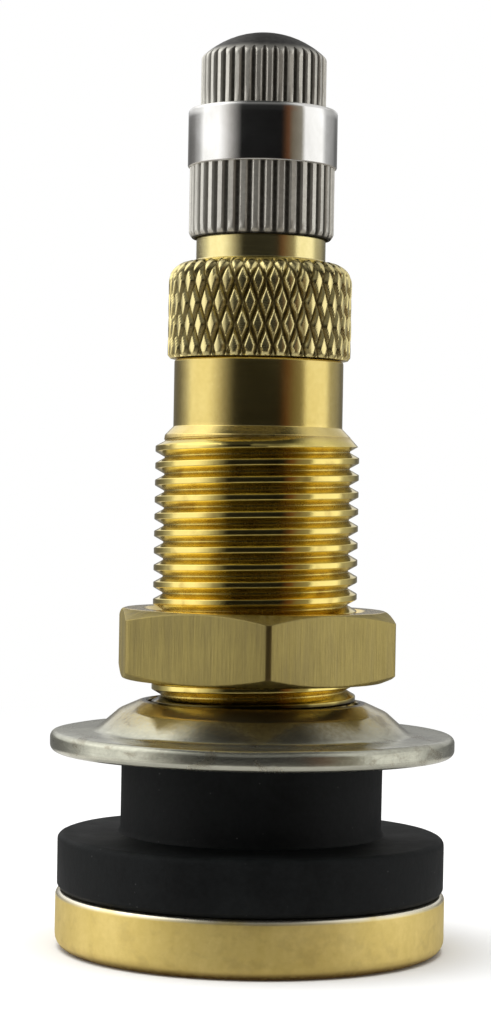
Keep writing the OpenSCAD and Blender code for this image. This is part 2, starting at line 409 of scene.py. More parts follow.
def stem_edge_wear_and_highlight(p):
    """The base's upper edge, rubbed pale in places and painted with a near-white highlight."""
    worn = p.span(p.noise(0.35, (1, 1, 1), 3, 0.5, (6, 2, 5)), 0.34, 0.52, 0.35, 0.95)
    return p.math("MULTIPLY", worn, p.span(p.z, 3.5, 3.9, 1.0, 0.0))


def stem_thread_reflection_tint(p):
    """The thread, a deeper yellow than the base and the barrel: painted reflection of the brass in its own grooves."""
    return p.math("MULTIPLY", p.span(p.z, 11.5, 12.5, 0.0, 0.60), p.span(p.z, 30.0, 30.7, 1.0, 0.0))


def stem_rim_shade_and_film(p):
    """Painted shade on the thread just above the washer's upper rim, and a thin dull film on the barrel."""
    low = p.math("MULTIPLY", p.span(p.z, 14.2, 14.6), p.span(p.z, 14.88, 15.18, 0.92, 0.0))
    return p.math("ADD", low, p.span(p.z, 31.0, 31.4, 0.0, 0.15))


def housing_rough(p):
    """Knurl as cut, polished neck."""
    return p.math("ADD", p.span(p.z, 40.6, 41.2, 0.27, 0.16), 0.0)


# The stem's material: painted dark reflection and painted highlight on the base's edges, a painted reflection tint on
# the thread, painted shade above the washer.
STEM = turned_brass("brass_stem", (0.89, 0.715, 0.275), (0.75, 0.575, 0.175), (0.24, 0.12, 0.026), 1, stem_rough, 0.16, stem_grime_and_painted_edge, 0.6, stem_spots, stem_edge_wear_and_highlight, stem_thread_reflection_tint, stem_rim_shade_and_film)
HOUSING = turned_brass("brass_housing", (0.87, 0.755, 0.37), (0.73, 0.61, 0.25), (0.105, 0.068, 0.022), 2, housing_rough, 0.25, 0.95)
CORE = turned_brass("brass_core", (0.80, 0.62, 0.28), (0.62, 0.46, 0.18), (0.14, 0.08, 0.03), 3, 0.30, 0.3, 0.6)
PIN = turned_brass("brass_pin", (0.86, 0.76, 0.48), (0.74, 0.62, 0.36), (0.18, 0.12, 0.05), 4, 0.26, 0.3, 0.4)


def nut_brass():
    """Drawn hexagon brass: matt flats with fine lines along the bar, lighter edges and turned ends, dark lines along
    the corners, and painted shade on the corners that face the front.
    """
    p = Paint("brass_nut")
    cloud = p.noise(0.35, (1, 1, 0.5), 5, 0.6, (3, 8, 1), 0.3)
    grain = p.noise(7.0, (1, 1, 0.05), 3, 0.65, (2, 2, 7))
    streak = p.noise(2.1, (1, 1, 0.08), 3, 0.6, (5, 1, 7))
    fine = p.noise(5.0, (1, 1, 1), 3, 0.6, (1, 4, 2))
    tone = p.math("ADD", p.math("MULTIPLY", cloud, 0.35), p.math("ADD", p.math("MULTIPLY", grain, 0.3), p.math("MULTIPLY", streak, 0.35)))
    colour = p.ramp(tone, [(0.41, (0.212, 0.160, 0.030)), (0.5, (0.333, 0.258, 0.052)), (0.58, (0.452, 0.360, 0.083))])
    crest = p.attribute("crest")
    colour = p.mix(p.math("MULTIPLY", crest, 0.45), colour, (0.74, 0.62, 0.29))
    ends = p.math("ADD", p.span(p.z, 16.06, 16.09, 1.0, 0.0), p.span(p.z, 20.21, 20.24), clamp=True)
    across = p.math("SQRT", p.math("ADD", p.math("MULTIPLY", p.x, p.x), p.math("MULTIPLY", p.y, p.y)))
    ends = p.math("MAXIMUM", ends, p.span(across, 6.9, 7.1, 1.0, 0.0))
    colour = p.mix(ends, colour, (0.90, 0.69, 0.25))
    # Darkened where groove marks it: corner lines and tarnish (painted shade on the front corners), and the middle of
    # the bore.
    colour = p.mix(p.math("MULTIPLY", p.attribute("groove"), 0.9), colour, (0.10, 0.062, 0.02))
    rough = p.math("ADD", p.math("MULTIPLY_ADD", p.math("SUBTRACT", streak, 0.5), 0.30, 0.52),
                   p.math("MULTIPLY", p.math("SUBTRACT", fine, 0.5), 0.12), clamp=True)
    rough = p.math("MULTIPLY_ADD", ends, -0.42, rough, clamp=True)
    normal = p.bump(grain, 0.45, 0.00003)
    normal = p.bump(fine, 0.2, 0.00002, normal)
    return p.finish(colour, rough, 1.0, normal)


def cap_nickel():
    """Nickel plate: polished band, duller ribs with dirt between them, a painted highlight making the ribs paler on
    the left, a painted dark reflection on the domed top and painted shade on the bottom edge and underside.
    """
    p = Paint("nickel_cap")
    cloud = p.noise(0.5, (1, 1, 0.7), 5, 0.6, (7, 2, 3), 0.3)
    fine = p.noise(4.0, (1, 1, 1), 4, 0.6, (2, 6, 1))
    groove = p.attribute("groove")
    bright = p.ramp(cloud, [(0.30, (0.70, 0.69, 0.66)), (0.52, (0.79, 0.78, 0.75)), (0.70, (0.86, 0.85, 0.83))])
    rib = p.noise(1.5, (1, 1, 0.03), 2, 0.5, (3, 9, 2))
    dull = p.ramp(p.math("ADD", p.math("MULTIPLY", rib, 0.5), p.math("ADD", p.math("MULTIPLY", cloud, 0.25), p.math("MULTIPLY", fine, 0.25))),
                  [(0.38, (0.51, 0.490, 0.435)), (0.50, (0.68, 0.655, 0.585)), (0.61, (0.83, 0.805, 0.725))])
    band = p.math("MULTIPLY", p.span(p.z, 46.6, 46.75), p.span(p.z, 49.95, 50.2, 1.0, 0.0))
    # Ribs painted paler, with less dirt between them, on the left side: painted highlight.
    painted_left_light = p.span(p.x, -3.9, -1.4, 1.0, 0.0)
    dull = p.mix(p.math("MULTIPLY", painted_left_light, 0.5), dull, (0.93, 0.915, 0.84))
    base = p.mix(band, dull, bright)
    dirt_and_painted_light = p.math("MULTIPLY", p.span(groove, 0.18, 0.65), p.span(fine, 0.2, 0.7, 0.8, 1.0))
    dirt_and_painted_light = p.math("MULTIPLY", dirt_and_painted_light, p.math("MULTIPLY_ADD", painted_left_light, -0.40, 1.0))
    # The whole domed top painted near-black: painted dark reflection.
    top = p.math("MULTIPLY", p.span(p.z, 53.25, 53.75), p.span(fine, 0.2, 0.8, 0.97, 0.86))
    colour = p.mix(top, base, (0.055, 0.054, 0.051))
    colour = p.mix(p.math("MULTIPLY", dirt_and_painted_light, 0.88), colour, (0.066, 0.060, 0.048))
    # Near-black where groove passes 1: the cap's bottom edge and underside, painted shade.
    colour = p.mix(p.span(groove, 1.05, 1.7, 0.0, 0.92), colour, (0.016, 0.014, 0.011))
    colour = p.mix(p.math("MULTIPLY", p.attribute("crest"), 0.2), colour, (0.66, 0.65, 0.62))
    rough = p.math("ADD", p.math("MULTIPLY_ADD", band, -0.42, 0.51),
                   p.math("ADD", p.math("MULTIPLY", p.math("SUBTRACT", cloud, 0.5), 0.12), p.math("MULTIPLY", dirt_and_painted_light, 0.25)), clamp=True)
    scratch = p.noise(7.0, (0.05, 0.05, 1.0), 3, 0.7, (1, 1, 1))
    normal = p.bump(scratch, 0.10, 0.00001)
    normal = p.bump(fine, 0.12, 0.000012, normal)
    return p.finish(colour, rough, 1.0, normal)


def washer_zinc():
    """Zinc plate gone dull: fine grey mottling, brown stains on the dish, grime and a painted brass reflection on the
    crown, painted shade over the dish's front and on the bore's upper rim, and rubbed pale edges.
    """
    p = Paint("zinc_washer")
    cloud = p.noise(0.30, (1, 1, 1), 4, 0.55, (4, 4, 9), 0.3)
    fine = p.noise(4.5, (1, 1, 1), 5, 0.65, (8, 1, 3))
    drag = p.noise(5.0, (0.15, 0.15, 1.0), 3, 0.6, (3, 6, 1))
    tone = p.math("ADD", p.math("MULTIPLY", cloud, 0.50), p.math("ADD", p.math("MULTIPLY", fine, 0.25), p.math("MULTIPLY", drag, 0.25)))
    colour = p.ramp(tone, [(0.36, (0.37, 0.367, 0.295)), (0.50, (0.50, 0.496, 0.400)), (0.63, (0.61, 0.606, 0.490))])
    # The crown is tinted brass-gold: grime plus a painted reflection of the brass thread.
    grime_and_painted_light = p.math("MULTIPLY", p.math("MINIMUM", p.attribute("groove"), 1.0), p.span(fine, 0.3, 0.62, 0.45, 1.0))
    colour = p.mix(p.math("MULTIPLY", grime_and_painted_light, 0.92), colour, (0.53, 0.42, 0.165))
    stain = p.span(p.noise(0.55, (1, 1, 1.6), 4, 0.6, (1, 7, 2), 0.6), 0.53, 0.66)
    colour = p.mix(p.math("MULTIPLY", stain, 0.5), colour, (0.19, 0.15, 0.09))
    # Painted shade over the dish's front, from left of centre to the right.
    side = p.math("MULTIPLY", p.span(p.x, -3.4, -1.4), p.span(p.x, 5.0, 8.0, 1.0, 0.0))
    shaded_front = p.math("MULTIPLY", p.span(p.y, -6.2, -4.4, 1.0, 0.0), p.span(p.z, 12.97, 13.2))
    painted_front_shade = p.math("MULTIPLY", p.math("MULTIPLY", side, shaded_front), p.span(fine, 0.3, 0.65, 0.42, 0.62))
    colour = p.mix(painted_front_shade, colour, (0.085, 0.068, 0.040))
    colour = p.mix(p.math("MULTIPLY", p.attribute("crest"), 0.55), colour, (0.66, 0.655, 0.56))
    # Near-black on the bore's upper rim: painted shade.
    colour = p.mix(p.span(p.attribute("groove"), 1.05, 1.5, 0.0, 0.9), colour, (0.020, 0.016, 0.010))
    rough = p.math("ADD", p.math("MULTIPLY_ADD", p.math("SUBTRACT", fine, 0.5), 0.12, p.span(p.z, 12.9, 13.4, 0.23, 0.155)),
                   p.math("MULTIPLY", p.math("ADD", stain, grime_and_painted_light), 0.05), clamp=True)
    normal = p.bump(p.noise(0.9, (1, 1, 1), 3, 0.55, (2, 2, 2)), 0.13, 0.0001)
    normal = p.bump(fine, 0.05, 0.00002, normal)
    return p.finish(colour, rough, 0.96, normal)


def rubber(name, seed, low, high, rough=0.62):
    """Moulded rubber with a faint grey bloom and specks of dust."""
    p = Paint(name)
    off = (seed * 2.3, seed * 4.1, seed)
    cloud = p.noise(0.35, (1, 1, 1), 5, 0.6, off, 0.5)
    fine = p.noise(3.5, (1, 1, 1), 4, 0.6, off)
    colour = p.ramp(p.math("ADD", p.math("MULTIPLY", cloud, 0.65), p.math("MULTIPLY", fine, 0.35)),
                    [(0.34, low), (0.68, high)])
    dust = p.math("MULTIPLY", p.span(p.cells(1.7, off), 0.10, 0.04), p.span(cloud, 0.5, 0.62))
    colour = p.mix(p.math("MULTIPLY", dust, 0.35), colour, (0.16, 0.16, 0.155))
    rougher = p.math("MULTIPLY_ADD", p.math("SUBTRACT", cloud, 0.5), 0.3, rough, clamp=True)
    normal = p.bump(p.noise(1.1, (1, 1, 1), 4, 0.6, off), 0.25, 0.00012)
    normal = p.bump(p.noise(9.0, (1, 1, 1), 3, 0.6, off), 0.3, 0.00003, normal)
    mat = p.finish(colour, rougher, 0.0, normal)
    p.bsdf.inputs["Specular IOR Level"].default_value = 0.14
    return mat


def spring_steel():
    p = Paint("steel_spring")
    cloud = p.noise(1.4, (1, 1, 1), 4, 0.6, (5, 2, 8))
    fine = p.noise(7.0, (1, 1, 1), 3, 0.6, (1, 3, 4))
    colour = p.ramp(cloud, [(0.32, (0.40, 0.40, 0.39)), (0.68, (0.62, 0.61, 0.59))])
    rough = p.math("MULTIPLY_ADD", p.math("SUBTRACT", fine, 0.5), 0.3, 0.30, clamp=True)
    return p.finish(colour, rough, 1.0, p.bump(fine, 0.15, 0.00001))


NUT = nut_brass()
NICKEL = cap_nickel()
ZINC = washer_zinc()
BLACK = rubber("rubber_black", 1, (0.0022, 0.0027, 0.0028), (0.0075, 0.0088, 0.0090))
RED = rubber("seal_red", 2, (0.20, 0.020, 0.012), (0.36, 0.050, 0.028), 0.5)
STEEL = spring_steel()


# ------------------------------------------------------- base and stem

STEM_PITCH = 1.016
SHANK_PITCH = 0.8
CAP_PITCH = 0.79375
CORE_PITCH = 0.70556

n_stem = even(160)
s = Solid(n_stem)
o = np.array(rounded([(3.2, 0.3), (3.5, 0.0), (11.65, 0.0, 0.8), (11.65, 1.7), (11.65, 2.65), (11.65, 3.45, 0.34), (6.35, 3.45), (6.08, 3.7), (6.08, 11.6), (5.56, 12.3)], 6))
# The base's lower outer edge is marked for the dark grime colour: painted dark reflection.
lower_edge_dark_reflection = np.where(o[:, 0] > 10.5, np.clip(1.15 - o[:, 1] / 0.6, 0, 1), 0.0)
# The base's upper edge: rubbed wear plus a painted highlight.
rubbed_and_highlit_edge = np.where((o[:, 0] > 11.0) & (o[:, 1] > 3.0), np.clip((o[:, 1] - 3.12) / 0.2, 0, 1), 0.0)
s.rings(o, lower_edge_dark_reflection, rubbed_and_highlit_edge)
s.thread(12.3, 30.6, STEM_PITCH, 5.56, 6.11, form=STEM_FORM, lift=0.3)
s.rings(rounded([(5.56, 30.6), (5.54, 30.64, 0.05), (5.07, 31.12, 0.10), (5.07, 35.15, 0.18), (4.5, 35.15, 0.03), (4.2, 34.85)], 5))
s.thread(29.3, 34.85, SHANK_PITCH, 3.84, 4.2, inner=True)
s.rings([(4.2, 29.3), (4.2, 28.0), (3.2, 28.0), (3.2, 20.0), (3.2, 10.0), (3.2, 0.3)])
spud = s.build("spud_brass", "base", "spud", STEM)

# ------------------------------------------------------------- grommet

n_rub = even(144)
s = Solid(n_rub)
out = rounded([(6.17, 3.47), (11.35, 3.47, 0.2), (11.6, 3.75, 0.2), (11.6, 6.8, 0.42), (8.35, 6.8), (8.0, 6.88), (7.85, 7.2),
               (7.85, 11.65, 0.18), (7.15, 12.35, 0.1), (6.17, 12.35), (6.17, 9.0), (6.17, 3.47)], 5)
o = np.array(out)
fill = np.array([[1.0]])
rr = np.repeat(o[:, :1], len(n_rub), 1)
zz = np.repeat(o[:, 1:], len(n_rub), 1)
outer = np.clip((rr - 7.5) / 0.4, 0, 1)
dent = wave(n_rub[None, :], zz, 3.0)
rr = rr - outer * (0.03 + 0.03 * dent)
zz = zz - 0.02 * outer * np.clip((zz - 6.5) / 0.3, 0, 1) * (rr > 8.2) * (1 + wave(n_rub[None, :], rr, 5.0))
s.grid(rr, zz)
grommet = s.build("grommet_rubber", "base", "grommet", BLACK)

# -------------------------------------------------------------- washer

n_wash = even(180)
s = Solid(n_wash)
zw, top = 11.67, 14.77
out = rounded([(6.35, top - 1.3), (6.95, top - 1.3, 0.15), (8.1, zw + 0.1, 0.12), (8.25, zw, 0.05), (10.2, zw), (12.15, zw, 0.42),
               (12.15, zw + 1.25, 0.40), (10.6, zw + 1.25), (9.46, zw + 1.26, 0.6), (8.02, 14.18, 1.0), (6.85, top - 0.07, 0.5), (6.45, top, 0.06), (6.35, top - 0.12),
               (6.35, top - 0.7), (6.35, top - 1.3)], 6)
o = np.array(out)
rr = np.repeat(o[:, :1], len(n_wash), 1)
zz = np.repeat(o[:, 1:], len(n_wash), 1)
brim = np.clip((rr - 9.0) / 2.0, 0, 1)
rr = rr - 0.05 * np.clip((rr - 11.6) / 0.3, 0, 1) * (0.6 + 0.5 * wave(n_wash[None, :], zz * 0.3, 7.0))
upper = np.clip((zz - (zw + 0.5)) / 0.5, 0, 1)
zz = zz - upper * 0.035 * brim * (1 + wave(n_wash[None, :], rr * 0.8, 2.0))
edge = np.exp(-((rr - 12.0) / 0.16) ** 2) * np.exp(-((zz - (zw + 0.15)) / 0.3) ** 2) + 0.2 * np.exp(-((rr - 12.0) / 0.2) ** 2) * np.exp(-((zz - (zw + 1.15)) / 0.2) ** 2)
# The crown is marked for grime and painted brass reflection.
dish_tint_and_rim_shade = 0.05 * np.exp(-((rr - 9.2) / 0.7) ** 2) * np.clip((zz - (zw + 1.0)) / 0.2, 0, 1) + 0.85 * np.clip((zz - (zw + 1.42)) / 0.4, 0, 1) * (rr < 9.4)
# The bore's upper rim is marked above 1 for painted shade.
dish_tint_and_rim_shade = np.clip(dish_tint_and_rim_shade, 0, 1) + 1.6 * np.clip((zz - (top - 0.12)) / 0.06, 0, 1) * (rr < 6.52)
s.grid(rr, zz, dish_tint_and_rim_shade, np.clip(edge, 0, 1))
washer = s.build("ring_washer_zinc", "washer", "ring_washer", ZINC)

# ----------------------------------------------------------------- nut

AF = 15.875
turn = math.radians(-25.0)
steps = [0.0, 0.25, 0.5, 0.75, 1.0, 1.3, 1.8, 4.0, 8.0, 14.0, 22.0]
sector = [x for x in steps] + [30.0] + [60.0 - x for x in steps[:0:-1]]
n_nut = np.radians(np.concatenate([np.array(sector) + 60.0 * k for k in range(6)])) + turn
delta = (np.degrees(n_nut - turn) % 60.0)
delta = np.radians(np.minimum(delta, 60.0 - delta))
corner = 0.40
apothem = AF / 2
cx = (apothem - corner) / math.cos(math.radians(30))
lim = math.atan(corner * 0.5 / (cx + corner * math.cos(math.radians(30))))
hexr = np.where(delta < lim, cx * np.cos(delta) + np.sqrt(np.maximum(corner ** 2 - (cx * np.sin(delta)) ** 2, 0)),
                apothem / np.cos(math.radians(30) - delta))
face_r, h, zn, bore = apothem - 0.15, 4.2, 16.05, 6.2
slant = math.tan(math.radians(22.5))
cols_r, cols_z = [], []
for r in hexr:
    rise = (r - face_r) * slant
    o = rounded([(bore + 0.5, 0.0), (face_r, 0.0, 0.10), (r, rise, 0.11), (r, h - rise, 0.11), (face_r, h, 0.10), (bore + 0.5, h)], 4)
    cols_r.append([q[0] for q in o])
    cols_z.append([q[1] for q in o])
rr = np.array(cols_r).T
zz = np.array(cols_z).T
k = np.zeros(rr.shape)
k[6:11] = 1.0
k[11:16] = 1.0
near = np.exp(-((delta - lim) / math.radians(0.7)) ** 2)[None, :] * np.ones((rr.shape[0], 1))
row = np.arange(rr.shape[0])[:, None]
# Dark lines along the corners with tarnish beside them, both made much stronger on the corners facing the front:
# painted shade.
shaded_front = np.cos(n_nut - math.radians(-85)) > 0.7
line = np.where(shaded_front, 0.92, 0.25) * np.clip((lim - delta) / (lim * 0.3), 0, 1)
corner_tarnish_and_shade = np.where(shaded_front, 0.24, 0.08) * np.exp(-(delta / math.radians(9.0)))
dull = np.maximum(line[None, :] * ((row > 7) & (row < 14)), corner_tarnish_and_shade[None, :])
s = Solid(n_nut)
s.grid(rr, zz + zn, dull, np.maximum(k * 0.9, near * 0.8 * ((row > 5) & (row < 17))))
s.rings(rounded([(bore + 0.5, zn + h), (bore, zn + h - 0.5, 0.05), (bore, zn + 0.5, 0.05), (bore + 0.5, zn)], 3), [0.0, 0.0, 0.1, 0.3, 0.6, 0.6, 0.3, 0.1, 0.0, 0.0])
nut = s.build("hex_nut_brass", "nut", "hex_nut", NUT, 30)

# -------------------------------------------------------- core housing

KN = 36
KN_H = 2.58
kn_phase = math.radians(-90 + 3.6)
kn_z0 = 38.31
n_kn = even(KN * 16)
n_mid = even(KN * 4)
COLLAR = 5.49


def knurl(th, z):
    a = (th - kn_phase) * KN / TAU
    b = (z - kn_z0) / KN_H
    u, v = a + b, a - b
    return 2 * np.maximum(np.abs(u - np.round(u)), np.abs(v - np.round(v)))


def knurl_form(t):
    """Depth under the collar's crest: low crowned tops with V grooves between them."""
    return 0.07 * np.clip(t / 0.56, 0, 1) ** 2 + 0.93 * np.clip((t - 0.56) / 0.40, 0, 1)


s = Solid(n_mid)
s.rings(rounded([(2.6, 29.02), (3.6, 29.02, 0.08), (3.78, 29.2)], 3))
s.thread(29.2, 34.55, SHANK_PITCH, 3.78, 4.14)
s.rings(rounded([(3.78, 34.55), (3.78, 35.2, 0.06), (4.6, 35.2)], 3))
s.bridge(n_kn, 5.2, 35.2, n_mid, 4.6, 35.2)
line = rounded([(5.2, 35.2), (5.34, 35.2, 0.04), (5.49, 35.38, 0.06)], 2)
zs = np.concatenate([[35.38], np.arange(35.46, 39.8, KN_H / 16), [39.8]])
arc = [(COLLAR - 1.35 * (1 - math.cos(g)), 39.8 + 1.2 * math.sin(g), g) for g in np.linspace(0, math.pi / 2, 13)[1:]]
pr = np.concatenate([[q[0] for q in line[:-1]], np.full(len(zs), COLLAR), [q[0] for q in arc]])
pz = np.concatenate([[q[1] for q in line[:-1]], zs, [q[1] for q in arc]])
nr = np.concatenate([np.full(len(line) - 1, 0.7), np.ones(len(zs)), [math.cos(q[2]) * 0.95 for q in arc]])
nz = np.concatenate([np.full(len(line) - 1, 0.0), np.zeros(len(zs)), [math.sin(q[2]) * 0.9 for q in arc]])
length = np.concatenate([pz[:len(line) - 1 + len(zs)], [39.8 + 1.28 * q[2] for q in arc]])
fade = np.concatenate([np.linspace(0.0, 0.6, len(line) - 1), np.full(len(zs), 1.0), [1.0 - 0.55 * (q[2] / (math.pi / 2)) for q in arc]])
fade[-1] = 0.0
t = knurl(n_kn[None, :], length[:, None])
d = 0.27 * knurl_form(t) * fade[:, None]
rr = pr[:, None] - d * nr[:, None]
zz = pz[:, None] - d * nz[:, None]


def crease(a, b, c, d_, xyz):
    """Splits each face along the crease that runs through it."""
    th = np.arctan2(xyz[:, 1], xyz[:, 0])
    tt = t.reshape(-1)
    ll = np.repeat(length[:, None], len(n_kn), 1).reshape(-1)
    step = (th[c] - th[a] + math.pi) % TAU - math.pi
    mid = knurl(th[a] + step / 2, (ll[a] + ll[c]) / 2)
    return np.abs((tt[a] + tt[c]) / 2 - mid) <= np.abs((tt[b] + tt[d_]) / 2 - mid)


s.grid(rr, zz, np.clip((t - 0.72) / 0.22, 0, 1) * fade[:, None], (1 - np.clip((t - 0.3) / 0.28, 0, 1)) * fade[:, None], angles=n_kn, split=crease)
s.bridge(n_kn, rr[-1], zz[-1, 0], n_mid, 3.96, 41.02)
s.rings(rounded([(3.96, 41.02), (3.875, 41.1, 0.04), (3.875, 42.95, 0.05), (3.42, 43.35)], 3))
s.thread(43.35, 48.95, CAP_PITCH, 3.42, 3.87)
s.rings(rounded([(3.42, 48.95), (3.40, 49.2, 0.05), (2.99, 49.2, 0.04), (2.69, 48.9)], 3))
s.thread(44.0, 48.9, CORE_PITCH, 2.34, 2.68, inner=True)
s.rings([(2.68, 44.0), (2.69, 43.75), (2.36, 43.5), (2.06, 41.05), (1.98, 41.0), (1.98, 35.4), (2.6, 34.8), (2.6, 29.02)])
housing = s.build("core_housing_brass", "housing", "core_housing", HOUSING, 40)

# ----------------------------------------------------------------- cap

share = [0.0, 0.08, 0.17, 0.25, 0.32, 0.5, 0.68, 0.75, 0.83, 0.92]
form = np.array([1.0, 0.80, 0.46, 0.15, 0.0, 0.0, 0.0, 0.15, 0.46, 0.80])
n_cap = np.radians(np.concatenate([(np.array(share) + k) * 10.0 for k in range(36)]))
g_cap = np.tile(form, 36)
n_in = even(72)
LOW, BAND, HIGH, DEEP = 4.34, 4.47, 3.75, 0.22
DOME, TOP = 5.34, 54.75


def dome(r):
    """Height of the domed top at a radius."""
    return TOP - DOME + np.sqrt(DOME ** 2 - np.asarray(r, float) ** 2)


rows = [(4.12, 42.41, 1.0), (4.15, 42.43, 1.0), (4.21, 42.50, 1.0), (4.30, 42.64, 1.0), (4.335, 42.72, 1.0), (LOW, 42.80, 1.0), (LOW, 43.2, 1.0), (LOW, 44.3, 1.0), (LOW, 45.6, 1.0),
        (LOW, 46.5, 1.0), (LOW, 46.63, 1.0), (LOW, 46.65, 0.0), (4.40, 46.655, 0.0), (4.445, 46.685, 0.0), (BAND, 46.74, 0.0), (BAND, 46.78, 0.0), (BAND, 46.84, 0.0), (BAND, 47.3, 0.0),
        (BAND, 48.5, 0.0), (BAND, 49.5, 0.0), (BAND, 49.88, 0.0), (4.445, 50.0, 0.0), (4.37, 50.08, 0.0), (4.27, 50.1, 0.0), (3.80, 50.1, 0.0),
        (HIGH, 50.13, 0.3), (HIGH, 50.2, 1.0), (HIGH, 51.2, 1.0), (HIGH, 52.2, 1.0), (HIGH, 52.9, 1.0)]
wall = HIGH - DEEP * g_cap
r = [[min(q[0], (LOW if q[1] < 43 else q[0]) - DEEP * q[2] * g) for g in g_cap] for q in rows]
z = [[q[1]] * len(n_cap) for q in rows]
# Bottom rows get groove 2.0 and chamfer rows extra groove: painted shade under the cap.
deep = [[2.0 if q[1] < 42.47 else 0.30 + 0.60 * g if q[1] < 42.6 else q[2] * g for g in g_cap] for q in rows]
keen = [[0.6 * q[2] * (1 - min(1.0, 6 * g)) for g in g_cap] for q in rows]
edge_r = [(wall, -0.09), (wall - 0.012, -0.04), (wall - 0.05, 0.0)]
for w_, drop in edge_r:
    r.append(list(w_))
    z.append(list(dome(w_) + drop))
    deep.append(list(g_cap * 0.9))
    keen.append([0.8 * (1 - min(1.0, 6 * g)) for g in g_cap])
for u in (0.25, 0.5, 0.75, 1.0):
    rad = (wall - 0.05) * (1 - u) + 3.2 * u
    r.append(list(rad))
    z.append(list(dome(rad)))
    deep.append([0.0] * len(n_cap))
    keen.append([0.0] * len(n_cap))
s = Solid(n_in)
s.grid(np.array(r), np.array(z), np.array(deep), np.array(keen), angles=n_cap)
s.bridge(n_cap, 3.2, float(dome(3.2)), n_in, 3.0, float(dome(3.0)))
s.rings([(q, float(dome(q))) for q in (3.0, 2.6, 2.2, 1.8, 1.4, 1.0, 0.6, 0.3)])
s.cap(0.3, float(dome(0.3)))
# The underside ring gets groove 2.0: painted shade.
s.bridge(n_cap, np.array(r[0]), 42.41, n_in, 4.0, 42.41, 2.0)
s.rings([(0.9, 53.55), (2.3, 53.55), (2.8, 53.15), (2.8, 50.0), (3.93, 50.0), (3.925, 49.1)])
s.cap(0.9, 53.55)
s.thread(43.0, 49.1, CAP_PITCH, 3.475, 3.925, inner=True)
# The bore's lower edge gets groove 2.0: painted shade.
s.rings([(3.925, 43.0), (3.93, 42.6), (4.0, 42.41)], 2.0)
cap = s.build("cap_shell_nickel", "cap", "cap_shell", NICKEL, 32)

# ------------------------------------------------------ pieces inside


def lathe(name, body, node, material, outline, n=64, seg=3, groove=0.0):
    s = Solid(even(n))
    s.rings(rounded(outline + [outline[0]], seg), groove)
    return s.build(name, body, node, material)


def ring(r0, r1, z0, z1, f=0.08):
    m = (r0 + r1) / 2
    return [(m, z0), (r1, z0, f), (r1, z1, f), (r0, z1, f), (r0, z0, f)]


lathe("housing_gasket_ring", "shank_ring", "housing_gasket", BLACK, ring(3.25, 3.8, 28.0, 29.0))
lathe("cap_seal_ring", "seal_ring", "cap_seal", BLACK, ring(2.8, 3.84, 49.25, 50.0))
lathe("core_barrel_sleeve", "core", "core_barrel", CORE,
      [(1.1, 34.5), (1.45, 34.5, 0.08), (1.85, 34.9, 0.12), (1.85, 41.2, 0.05), (1.72, 41.2), (1.72, 43.4), (2.24, 43.4, 0.06), (2.24, 44.0),
       (2.24, 44.85, 0.12), (1.56, 44.85), (1.56, 43.0), (1.2, 43.0), (1.2, 35.3), (0.75, 35.3), (0.75, 34.5, 0.05)])
lathe("barrel_gasket_ring", "core", "barrel_gasket", RED,
      [(1.9, 41.22), (2.04, 41.22, 0.05), (2.29, 43.38, 0.08), (1.74, 43.38), (1.74, 41.22)])
lathe("pin_cup_brass", "plunger", "pin_cup", CORE,
      [(1.0, 32.8), (1.35, 32.8, 0.05), (1.6, 33.05, 0.1), (1.6, 34.15, 0.05), (1.42, 34.15, 0.03), (1.42, 33.5), (0.56, 33.5), (0.56, 32.8)])
lathe("cup_gasket_ring", "plunger", "cup_gasket", BLACK, ring(0.57, 1.4, 33.52, 34.47, 0.06))

s = Solid(even(40))
s.rings(rounded([(0.3, 32.4), (0.7, 32.4, 0.06), (0.8, 32.55, 0.05), (0.8, 32.78, 0.03), (0.55, 32.78), (0.55, 42.4), (1.1, 42.4, 0.04), (1.1, 42.85, 0.04),
                 (0.55, 42.95), (0.55, 48.05), (0.7, 48.2, 0.04), (0.7, 48.7, 0.06), (0.5, 48.9, 0.08), (0.2, 48.9)], 3))
s.cap(0.3, 32.4)
s.cap(0.2, 48.9)
s.build("core_pin_metal", "plunger", "core_pin", PIN)

# Threaded head of the core: a turned neck and threaded disc with a milled bar on top
s = Solid(even(96))
th = s.angles
ends = (np.abs(np.sin(th)) > 0.985)
s.rings(rounded([(0.8, 43.05), (1.5, 43.05, 0.05), (1.5, 44.95), (2.2, 44.95, 0.05), (2.28, 45.03)], 3))
s.thread(45.03, 46.52, CORE_PITCH, 2.28, 2.61)
s.rings([(2.28, 46.52), (2.2, 46.6), (1.9, 46.6)])
half = 1.15
bar = np.minimum(2.5, half / np.maximum(np.abs(np.cos(th)), 1e-6))
bar = np.maximum(bar, 0.95)
notch = np.clip((np.abs(np.sin(th)) - 0.955) / 0.035, 0, 1)
bar = bar - 0.55 * notch
inner = np.full(len(th), 0.8)
rows_r = [np.full(len(th), 1.9), np.minimum(bar, 1.9) + 0.0 * bar, bar, bar, bar - 0.1, bar - 0.35, np.minimum(bar - 0.36, 0.95), inner, inner, inner]
rows_z = [46.6, 46.6, 46.62, 47.75, 47.87, 47.9, 47.9, 47.85, 46.0, 43.05]
s.grid(np.array(rows_r), np.repeat(np.array(rows_z)[:, None], len(th), 1))
s.build("core_swivel_brass", "swivel", "core_swivel", CORE)

